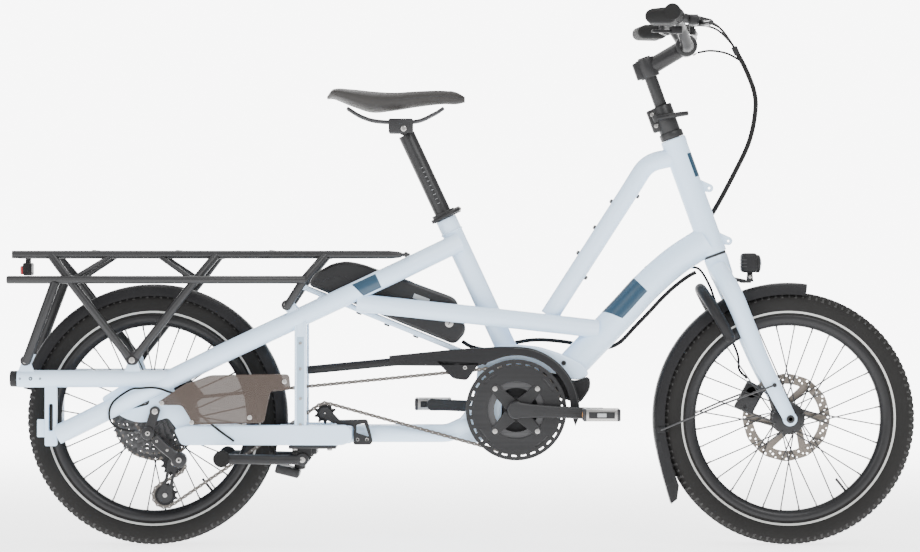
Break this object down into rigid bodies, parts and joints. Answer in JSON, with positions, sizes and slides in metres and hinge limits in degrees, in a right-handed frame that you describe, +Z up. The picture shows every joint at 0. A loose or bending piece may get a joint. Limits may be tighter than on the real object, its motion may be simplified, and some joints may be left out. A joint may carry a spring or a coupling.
{
  "type": "cargo bicycle",
  "caption": "Longtail cargo bicycle: low step-through frame, two small wheels, mid motor, under-rack battery, chain guard, long rear rack and folding double-leg stand.",
  "frame": {"origin": "on the ground below the middle of the bicycle, in its mid-plane", "axes": "+X forwards, +Y to the rider's left, +Z up; the chain is on the -Y side"},
  "size_m": [1.8428, 0.6736, 1.0845],
  "materials": {
    "black_metal": "satin black",
    "black_plastic": "matt black",
    "black_rubber": "matt black",
    "chain_steel": "oiled brown steel",
    "frame_paint": "satin pale blue-white",
    "saddle_skin": "warm dark grey vinyl",
    "smoked": "smoked clear",
    "steel": "bare steel",
    "tyre_rubber": "matt, with a reflective side line"
  },
  "bodies": {
    "root": {"main_frame": "frame_paint", "drive_motor": "black_plastic", "battery": "black_plastic", "chain": "chain_steel", "chain_guard": "black_plastic", "chain_plate": "smoked", "idler_bracket": "black_metal", "rear_rack": "black_metal", "tail_light": "black_plastic", "rear_fender": "black_plastic", "seat_collar": "black_metal", "rear_axle": "steel", "rear_caliper": "black_metal", "wiring_loom": "black_rubber", "shift_cable": "black_rubber", "derailleur_body": "black_metal", "kickstand_mount": "black_metal"},
    "fork_assembly": {"fork": "frame_paint", "front_fender": "black_plastic", "headlight_bracket": "black_metal", "front_caliper": "black_metal", "front_axle": "steel", "ring_lock": "black_plastic", "front_brake_hose": "black_rubber"},
    "lamp": {"headlight": "black_plastic"},
    "shackle": {"lock_shackle": "steel"},
    "front_wheel": {"front_tyre": "tyre_rubber", "front_rim": "black_metal", "front_hub": "black_metal"},
    "rear_wheel": {"rear_tyre": "tyre_rubber", "rear_rim": "black_metal", "rear_hub": "black_metal"},
    "cassette": {"cassette": "steel"},
    "crank": {"chainring": "black_metal", "right_crank": "black_metal", "left_crank": "black_metal"},
    "right_pedal": {"right_pedal": "black_metal"},
    "left_pedal": {"left_pedal": "black_metal"},
    "idler_pulley": {"idler_pulley": "black_plastic"},
    "derailleur_link": {"derailleur_link": "black_metal"},
    "derailleur_cage": {"derailleur_cage": "black_metal"},
    "tension_pulley": {"tension_pulley": "black_plastic"},
    "guide_pulley": {"guide_pulley": "black_plastic"},
    "stand": {"kickstand": "black_metal"},
    "post": {"seatpost": "black_metal"},
    "saddle": {"saddle_cradle": "black_metal", "saddle": "saddle_skin"},
    "seat_lever": {"seat_lever": "black_metal"},
    "cockpit": {"stem": "black_metal", "handlebar": "black_metal", "right_grip": "black_rubber", "left_grip": "black_rubber", "display": "black_plastic", "right_brake_body": "black_metal", "left_brake_body": "black_metal", "cable_bundle": "black_rubber"},
    "right_brake_lever": {"right_brake_lever": "black_metal"},
    "left_brake_lever": {"left_brake_lever": "black_metal"},
    "shift_lever": {"shift_lever": "black_plastic"},
    "turn_lever": {"turn_lever": "black_metal"}
  },
  "joints": [
    {"name": "steer", "type": "hinge", "parent": "root", "child": "fork_assembly", "pos_m": [0.5151, 0, 0.5889], "axis": [-0.3394, 0, 0.9407], "range_deg": [-50, 50], "deforming": ["cable_bundle", "front_brake_hose"]},
    {"name": "bar_turn", "type": "hinge", "parent": "fork_assembly", "child": "cockpit", "pos_m": [0.41251, 0, 0.87325], "axis": [-0.3394, 0, 0.9407], "range_deg": [0, 90], "deforming": ["cable_bundle"]},
    {"name": "front_wheel_spin", "type": "hinge", "parent": "fork_assembly", "child": "front_wheel", "pos_m": [0.6634, 0, 0.258], "axis": [0, 1, 0], "continuous": true},
    {"name": "rear_wheel_spin", "type": "hinge", "parent": "root", "child": "rear_wheel", "pos_m": [-0.6306, 0, 0.258], "axis": [0, 1, 0], "continuous": true},
    {"name": "crank_spin", "type": "hinge", "parent": "root", "child": "crank", "pos_m": [0.108, 0, 0.276], "axis": [0, 1, 0], "continuous": true},
    {"name": "cassette_spin", "type": "hinge", "parent": "root", "child": "cassette", "pos_m": [-0.6306, 0, 0.258], "axis": [0, 1, 0], "continuous": true},
    {"name": "idler_spin", "type": "hinge", "parent": "root", "child": "idler_pulley", "pos_m": [-0.28, -0.052, 0.27], "axis": [0, 1, 0], "continuous": true},
    {"name": "right_pedal_spin", "type": "hinge", "parent": "crank", "child": "right_pedal", "pos_m": [0.27786, -0.0885, 0.26918], "axis": [0, 1, 0], "continuous": true},
    {"name": "left_pedal_spin", "type": "hinge", "parent": "crank", "child": "left_pedal", "pos_m": [-0.06186, 0.0885, 0.28282], "axis": [0, 1, 0], "continuous": true},
    {"name": "derailleur_shift", "type": "hinge", "parent": "root", "child": "derailleur_link", "pos_m": [-0.637, -0.088, 0.23], "axis": [0.651, 0, 0.759], "range_deg": [-6, 8], "deforming": ["chain"]},
    {"name": "cage_pivot", "type": "hinge", "parent": "derailleur_link", "child": "derailleur_cage", "pos_m": [-0.574, -0.082, 0.176], "axis": [0, 1, 0], "range_deg": [-25, 15], "stiffness_Nm_per_rad": 1.5, "deforming": ["chain"]},
    {"name": "tension_pulley_spin", "type": "hinge", "parent": "derailleur_cage", "child": "tension_pulley", "pos_m": [-0.605, -0.052, 0.103], "axis": [0, 1, 0], "continuous": true},
    {"name": "guide_pulley_spin", "type": "hinge", "parent": "derailleur_cage", "child": "guide_pulley", "pos_m": [-0.588, -0.052, 0.168], "axis": [0, 1, 0], "continuous": true},
    {"name": "kickstand_fold", "type": "hinge", "parent": "root", "child": "stand", "pos_m": [-0.325, 0, 0.176], "axis": [0, -1, 0], "range_deg": [0, 92]},
    {"name": "seatpost_slide", "type": "slide", "parent": "root", "child": "post", "axis": [-0.4242, 0, 0.9056], "range_m": [-0.012, 0.1]},
    {"name": "saddle_tilt", "type": "hinge", "parent": "post", "child": "saddle", "pos_m": [-0.12077, 0, 0.84802], "axis": [0, 1, 0], "range_deg": [-15, 15]},
    {"name": "seat_lever_open", "type": "hinge", "parent": "root", "child": "seat_lever", "pos_m": [-0.00822, -0.018, 0.6848], "axis": [-0.4242, 0, 0.9056], "range_deg": [0, 120]},
    {"name": "turn_lever_open", "type": "hinge", "parent": "cockpit", "child": "turn_lever", "pos_m": [0.393, -0.025, 0.869], "axis": [0.3394, 0, -0.9407], "range_deg": [0, 110]},
    {"name": "right_brake_pull", "type": "hinge", "parent": "cockpit", "child": "right_brake_lever", "pos_m": [0.479, -0.16, 1.056], "axis": [0, 0, -1], "range_deg": [0, 14], "stiffness_Nm_per_rad": 1},
    {"name": "left_brake_pull", "type": "hinge", "parent": "cockpit", "child": "left_brake_lever", "pos_m": [0.479, 0.16, 1.056], "axis": [0, 0, 1], "range_deg": [0, 14], "stiffness_Nm_per_rad": 1},
    {"name": "shift_push", "type": "hinge", "parent": "cockpit", "child": "shift_lever", "pos_m": [0.427, -0.152, 1.0425], "axis": [0, 0, 1], "range_deg": [0, 20], "stiffness_Nm_per_rad": 0.4},
    {"name": "headlight_tilt", "type": "hinge", "parent": "fork_assembly", "child": "lamp", "pos_m": [0.586, 0, 0.546], "axis": [0, 1, 0], "range_deg": [-12, 12]},
    {"name": "lock_close", "type": "hinge", "parent": "fork_assembly", "child": "shackle", "pos_m": [0.52, 0, 0.4613], "axis": [0.8659, 0, 0.5003], "range_deg": [0, 130]}
  ],
  "couplings": [
    {"joint": "cassette_spin", "follows": "crank_spin", "ratio": 2.5882},
    {"joint": "idler_spin", "follows": "crank_spin", "ratio": -4.4},
    {"joint": "tension_pulley_spin", "follows": "crank_spin", "ratio": 3.6667},
    {"joint": "guide_pulley_spin", "follows": "crank_spin", "ratio": -3.6667}
  ]
}
